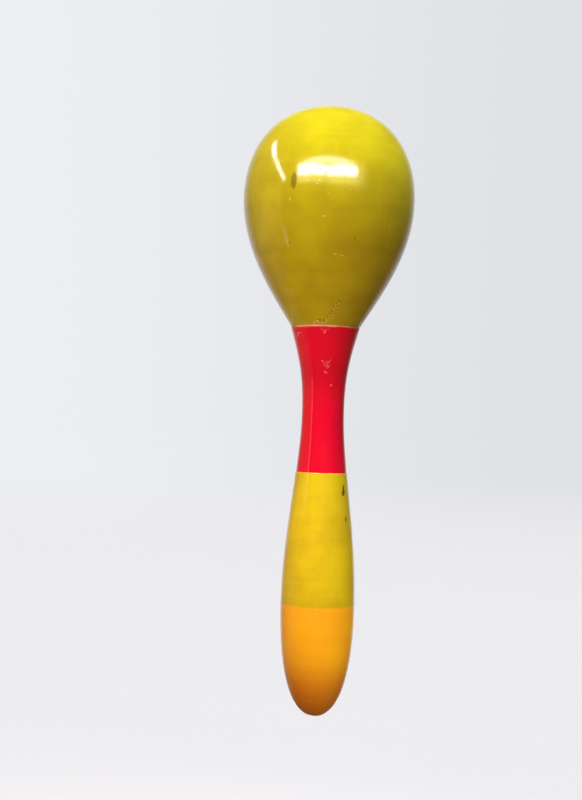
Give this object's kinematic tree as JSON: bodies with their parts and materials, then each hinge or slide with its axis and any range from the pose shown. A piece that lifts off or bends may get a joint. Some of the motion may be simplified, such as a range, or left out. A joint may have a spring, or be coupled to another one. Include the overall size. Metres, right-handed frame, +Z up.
{
  "type": "wooden rattle",
  "caption": "Turned wooden rattle: hollow egg-shaped head glued on a waisted handle with a rounded tip, and loose pellets in the head that sound when it is shaken.",
  "frame": {"origin": "on the rattle's axis, in the middle of the yellow grip band, where a hand holds it", "axes": "+Z up the axis from the handle's tip to the head; the rattle is turned, so X and Y are alike"},
  "size_m": [0.0464, 0.0464, 0.1636],
  "materials": {
    "yellow_lac": "wood under a glossy coat of yellow lac",
    "banded_lac": "wood under glossy lac in three bands: red neck, yellow grip, orange tip",
    "cured_glue": "pale cured glue",
    "pellet_wood": "bare tumbled hardwood"
  },
  "bodies": {
    "rattle": {"head_shell": "yellow_lac", "handle": "banded_lac", "glue_line": "cured_glue"},
    "loose_pellet_01": {"pellet_01": "pellet_wood"},
    "loose_pellet_02": {"pellet_02": "pellet_wood"},
    "loose_pellet_03": {"pellet_03": "pellet_wood"},
    "loose_pellet_04": {"pellet_04": "pellet_wood"},
    "loose_pellet_05": {"pellet_05": "pellet_wood"},
    "loose_pellet_06": {"pellet_06": "pellet_wood"},
    "loose_pellet_07": {"pellet_07": "pellet_wood"},
    "loose_pellet_08": {"pellet_08": "pellet_wood"},
    "loose_pellet_09": {"pellet_09": "pellet_wood"},
    "loose_pellet_10": {"pellet_10": "pellet_wood"},
    "loose_pellet_11": {"pellet_11": "pellet_wood"},
    "loose_pellet_12": {"pellet_12": "pellet_wood"},
    "loose_pellet_13": {"pellet_13": "pellet_wood"},
    "loose_pellet_14": {"pellet_14": "pellet_wood"},
    "loose_pellet_15": {"pellet_15": "pellet_wood"},
    "loose_pellet_16": {"pellet_16": "pellet_wood"},
    "loose_pellet_17": {"pellet_17": "pellet_wood"},
    "loose_pellet_18": {"pellet_18": "pellet_wood"},
    "loose_pellet_19": {"pellet_19": "pellet_wood"}
  },
  "joints": [
    {"name": "bounce_01", "type": "slide", "parent": "rattle", "child": "loose_pellet_01", "axis": [0, 0, 1], "range_m": [0, 0.0303]},
    {"name": "bounce_02", "type": "slide", "parent": "rattle", "child": "loose_pellet_02", "axis": [0, 0, 1], "range_m": [0, 0.0293]},
    {"name": "bounce_03", "type": "slide", "parent": "rattle", "child": "loose_pellet_03", "axis": [0, 0, 1], "range_m": [0, 0.0293]},
    {"name": "bounce_04", "type": "slide", "parent": "rattle", "child": "loose_pellet_04", "axis": [0, 0, 1], "range_m": [0, 0.0293]},
    {"name": "bounce_05", "type": "slide", "parent": "rattle", "child": "loose_pellet_05", "axis": [0, 0, 1], "range_m": [0, 0.0293]},
    {"name": "bounce_06", "type": "slide", "parent": "rattle", "child": "loose_pellet_06", "axis": [0, 0, 1], "range_m": [0, 0.0293]},
    {"name": "bounce_07", "type": "slide", "parent": "rattle", "child": "loose_pellet_07", "axis": [0, 0, 1], "range_m": [0, 0.0293]},
    {"name": "bounce_08", "type": "slide", "parent": "rattle", "child": "loose_pellet_08", "axis": [0, 0, 1], "range_m": [0, 0.0231]},
    {"name": "bounce_09", "type": "slide", "parent": "rattle", "child": "loose_pellet_09", "axis": [0, 0, 1], "range_m": [0, 0.0254]},
    {"name": "bounce_10", "type": "slide", "parent": "rattle", "child": "loose_pellet_10", "axis": [0, 0, 1], "range_m": [0, 0.0231]},
    {"name": "bounce_11", "type": "slide", "parent": "rattle", "child": "loose_pellet_11", "axis": [0, 0, 1], "range_m": [0, 0.0254]},
    {"name": "bounce_12", "type": "slide", "parent": "rattle", "child": "loose_pellet_12", "axis": [0, 0, 1], "range_m": [0, 0.0231]},
    {"name": "bounce_13", "type": "slide", "parent": "rattle", "child": "loose_pellet_13", "axis": [0, 0, 1], "range_m": [0, 0.0254]},
    {"name": "bounce_14", "type": "slide", "parent": "rattle", "child": "loose_pellet_14", "axis": [0, 0, 1], "range_m": [0, 0.0231]},
    {"name": "bounce_15", "type": "slide", "parent": "rattle", "child": "loose_pellet_15", "axis": [0, 0, 1], "range_m": [0, 0.0254]},
    {"name": "bounce_16", "type": "slide", "parent": "rattle", "child": "loose_pellet_16", "axis": [0, 0, 1], "range_m": [0, 0.0231]},
    {"name": "bounce_17", "type": "slide", "parent": "rattle", "child": "loose_pellet_17", "axis": [0, 0, 1], "range_m": [0, 0.0254]},
    {"name": "bounce_18", "type": "slide", "parent": "rattle", "child": "loose_pellet_18", "axis": [0, 0, 1], "range_m": [0, 0.0231]},
    {"name": "bounce_19", "type": "slide", "parent": "rattle", "child": "loose_pellet_19", "axis": [0, 0, 1], "range_m": [0, 0.0254]}
  ]
}
